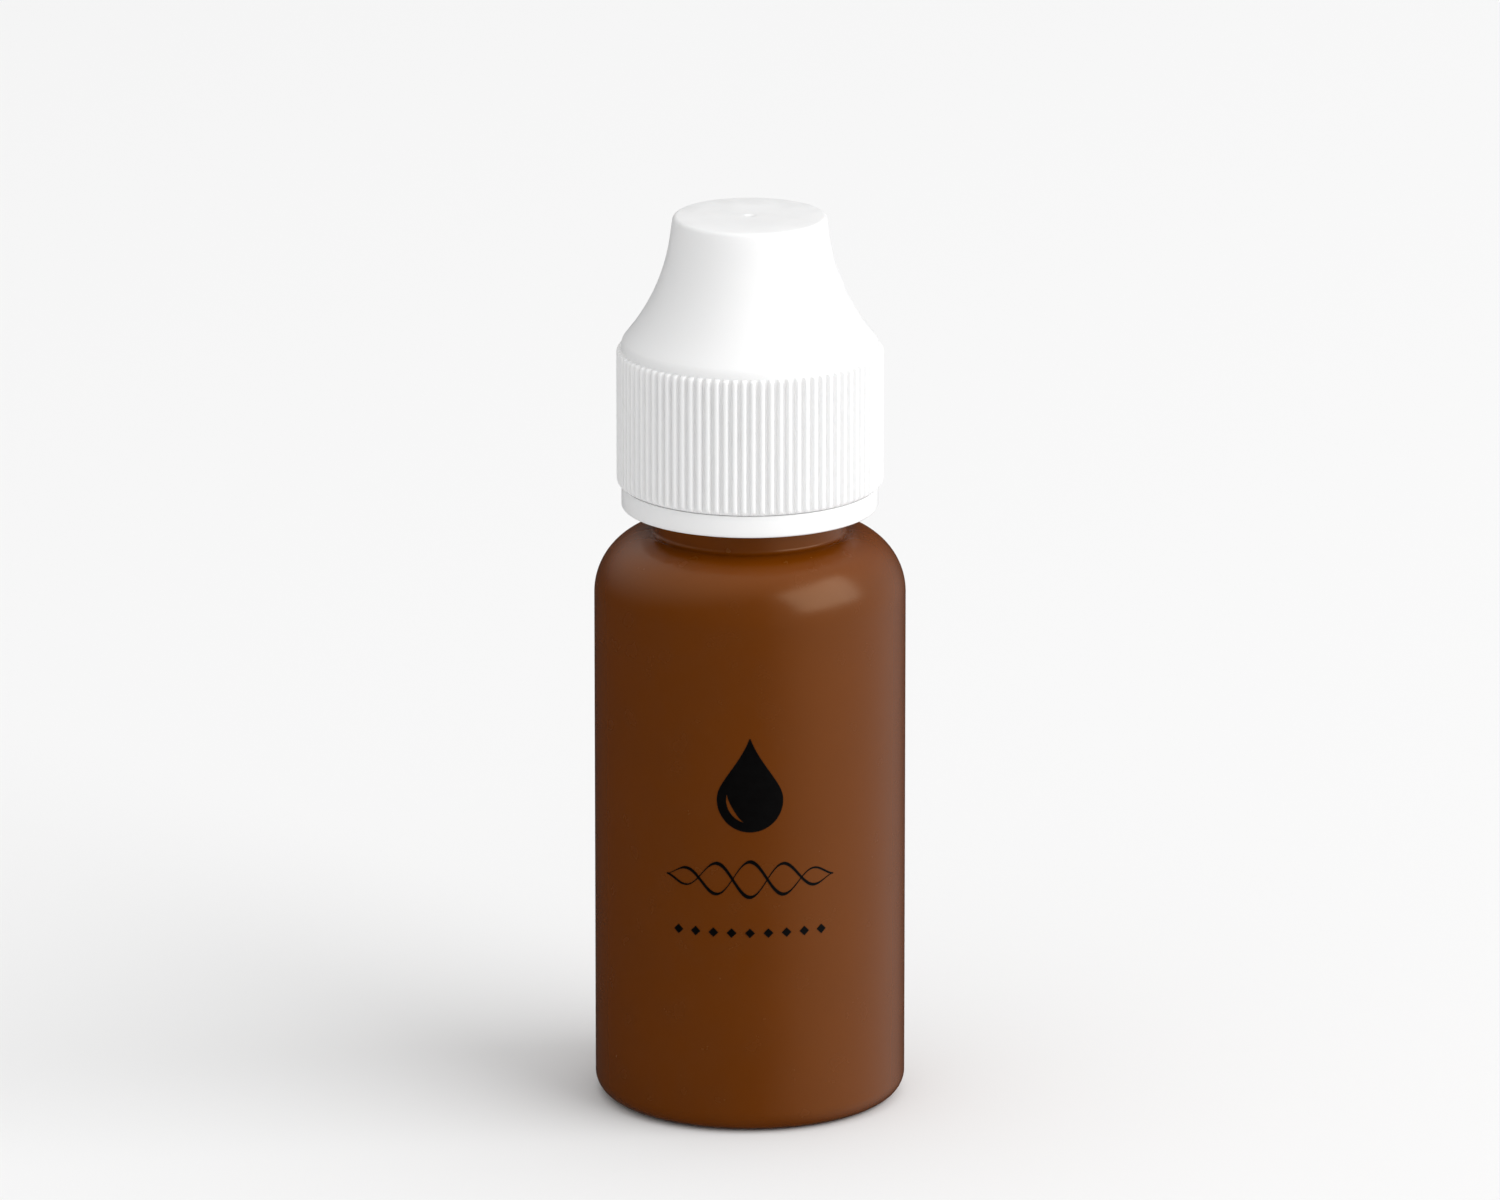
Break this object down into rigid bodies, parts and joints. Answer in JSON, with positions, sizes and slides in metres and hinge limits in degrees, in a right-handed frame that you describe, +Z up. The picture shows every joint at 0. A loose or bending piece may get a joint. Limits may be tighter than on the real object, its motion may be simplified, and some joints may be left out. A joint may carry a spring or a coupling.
{
  "type": "ink bottle",
  "caption": "Squeeze dropper bottle for ink with a ribbed bell-topped screw cap, tamper ring and pointed dropper tip.",
  "frame": {"origin": "centre of the circle that the bottle stands on", "axes": "+Z up along the bottle's axis, printed front towards -Y, +X to the right seen from the front"},
  "size_m": [0.0254, 0.0254, 0.074],
  "materials": {
    "bottle_plastic": "satin opaque brown polyethylene",
    "tip_plastic": "natural translucent polyethylene",
    "ink": "dark brown-black liquid",
    "print_ink": "black screen print",
    "cap_plastic": "satin white moulded plastic"
  },
  "bodies": {
    "bottle": {"bottle": "bottle_plastic", "dropper_tip": "tip_plastic", "ink_fill": "ink", "printed_mark": "print_ink"},
    "ring": {"tamper_ring": "cap_plastic"},
    "cap": {"screw_cap": "cap_plastic"}
  },
  "joints": [
    {"name": "cap_turn", "type": "hinge", "parent": "bottle", "child": "ring", "pos_m": [0, 0, 0.05], "axis": [0, 0, 1], "range_deg": [0, 2520]},
    {"name": "cap_lift", "type": "slide", "parent": "ring", "child": "cap", "axis": [0, 0, 1], "range_m": [0, 0.02223]}
  ],
  "couplings": [
    {"joint": "cap_turn", "follows": "cap_lift", "rad_per_m": 1979}
  ]
}
